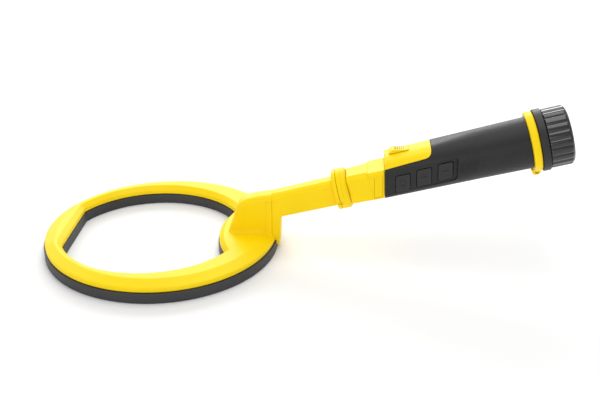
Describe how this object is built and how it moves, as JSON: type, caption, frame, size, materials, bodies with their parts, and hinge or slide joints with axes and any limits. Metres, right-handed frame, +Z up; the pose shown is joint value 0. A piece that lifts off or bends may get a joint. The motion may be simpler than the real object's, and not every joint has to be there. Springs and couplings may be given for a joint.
{
  "type": "metal detector",
  "caption": "Short hand-held metal detector: a flat open search coil on a rising arm, a ribbed-cap grip with side keys, a small torch pod and a locking collar.",
  "frame": {"origin": "middle of the footprint, on the ground plane that the coil's sole lies on", "axes": "+X from the tip of the coil towards the screw cap, +Y to the side without the keys, +Z up"},
  "size_m": [0.4406, 0.2028, 0.1315],
  "materials": {
    "yellow_plastic": "satin",
    "charcoal_plastic": "matte",
    "grip_rubber": "matte",
    "gloss_black_plastic": "gloss",
    "copper": "satin",
    "brass": "polished",
    "steel": "satin",
    "potting_resin": "satin",
    "circuit_board": "satin",
    "nylon": "satin",
    "clear_lens": "gloss",
    "cell_wrap": "satin",
    "seal_rubber": "matte"
  },
  "bodies": {
    "search_head": {"coil_tray": "charcoal_plastic", "coil_cover": "yellow_plastic", "coil_potting": "potting_resin", "coil_winding": "copper", "neck_elbow": "yellow_plastic", "neck_arm": "yellow_plastic", "plug_block": "nylon", "contact_pin_1": "brass", "contact_pin_2": "brass", "contact_pin_3": "brass", "spigot_o_ring": "seal_rubber", "coil_lead": "charcoal_plastic", "elbow_screw_1": "steel", "elbow_screw_2": "steel"},
    "handle": {"handle_core": "yellow_plastic", "grip_sleeve": "grip_rubber", "torch_housing": "yellow_plastic", "torch_lens": "clear_lens", "torch_reflector": "steel", "torch_led": "nylon", "side_plate_right": "yellow_plastic", "side_plate_left": "yellow_plastic", "key_frame": "grip_rubber", "circuit_board": "circuit_board", "tact_switch_1": "nylon", "tact_switch_2": "nylon", "tact_switch_3": "nylon", "buzzer": "charcoal_plastic", "vibration_motor": "steel", "socket_block": "nylon", "socket_contact_1": "brass", "socket_contact_2": "brass", "socket_contact_3": "brass", "battery_tube": "charcoal_plastic", "front_contact": "brass", "battery_cell": "cell_wrap", "cap_o_ring": "seal_rubber"},
    "lock_collar": {"lock_collar": "yellow_plastic"},
    "torch_slider": {"torch_slider": "yellow_plastic"},
    "key_power": {"key_power": "charcoal_plastic"},
    "key_plus": {"key_plus": "charcoal_plastic"},
    "key_minus": {"key_minus": "charcoal_plastic"},
    "cap_spring": {"cap_spring": "steel"},
    "cap": {"cap_body": "charcoal_plastic", "cap_ribbed_shell": "gloss_black_plastic"}
  },
  "joints": [
    {"name": "handle_release", "type": "slide", "parent": "search_head", "child": "handle", "axis": [0.9653, 0, 0.261], "range_m": [0, 0.018]},
    {"name": "collar_turn", "type": "hinge", "parent": "handle", "child": "lock_collar", "pos_m": [0.03254, 0, 0.0552], "axis": [0.9653, 0, 0.261], "range_deg": [0, 40]},
    {"name": "torch_switch", "type": "slide", "parent": "handle", "child": "torch_slider", "axis": [0.9653, 0, 0.261], "range_m": [0, 0.004]},
    {"name": "key_power_press", "type": "slide", "parent": "handle", "child": "key_power", "axis": [0, 1, 0], "range_m": [0, 0.0008], "stiffness_N_per_m": 1500},
    {"name": "key_plus_press", "type": "slide", "parent": "handle", "child": "key_plus", "axis": [0, 1, 0], "range_m": [0, 0.0008], "stiffness_N_per_m": 1500},
    {"name": "key_minus_press", "type": "slide", "parent": "handle", "child": "key_minus", "axis": [0, 1, 0], "range_m": [0, 0.0008], "stiffness_N_per_m": 1500},
    {"name": "cap_travel", "type": "slide", "parent": "handle", "child": "cap_spring", "axis": [0.9653, 0, 0.261], "range_m": [0, 0.006]},
    {"name": "cap_turn", "type": "hinge", "parent": "cap_spring", "child": "cap", "pos_m": [0.17565, 0, 0.0983], "axis": [0.9653, 0, 0.261], "range_deg": [0, 721]}
  ],
  "couplings": [
    {"joint": "cap_turn", "follows": "cap_travel", "rad_per_m": 2094.4}
  ]
}
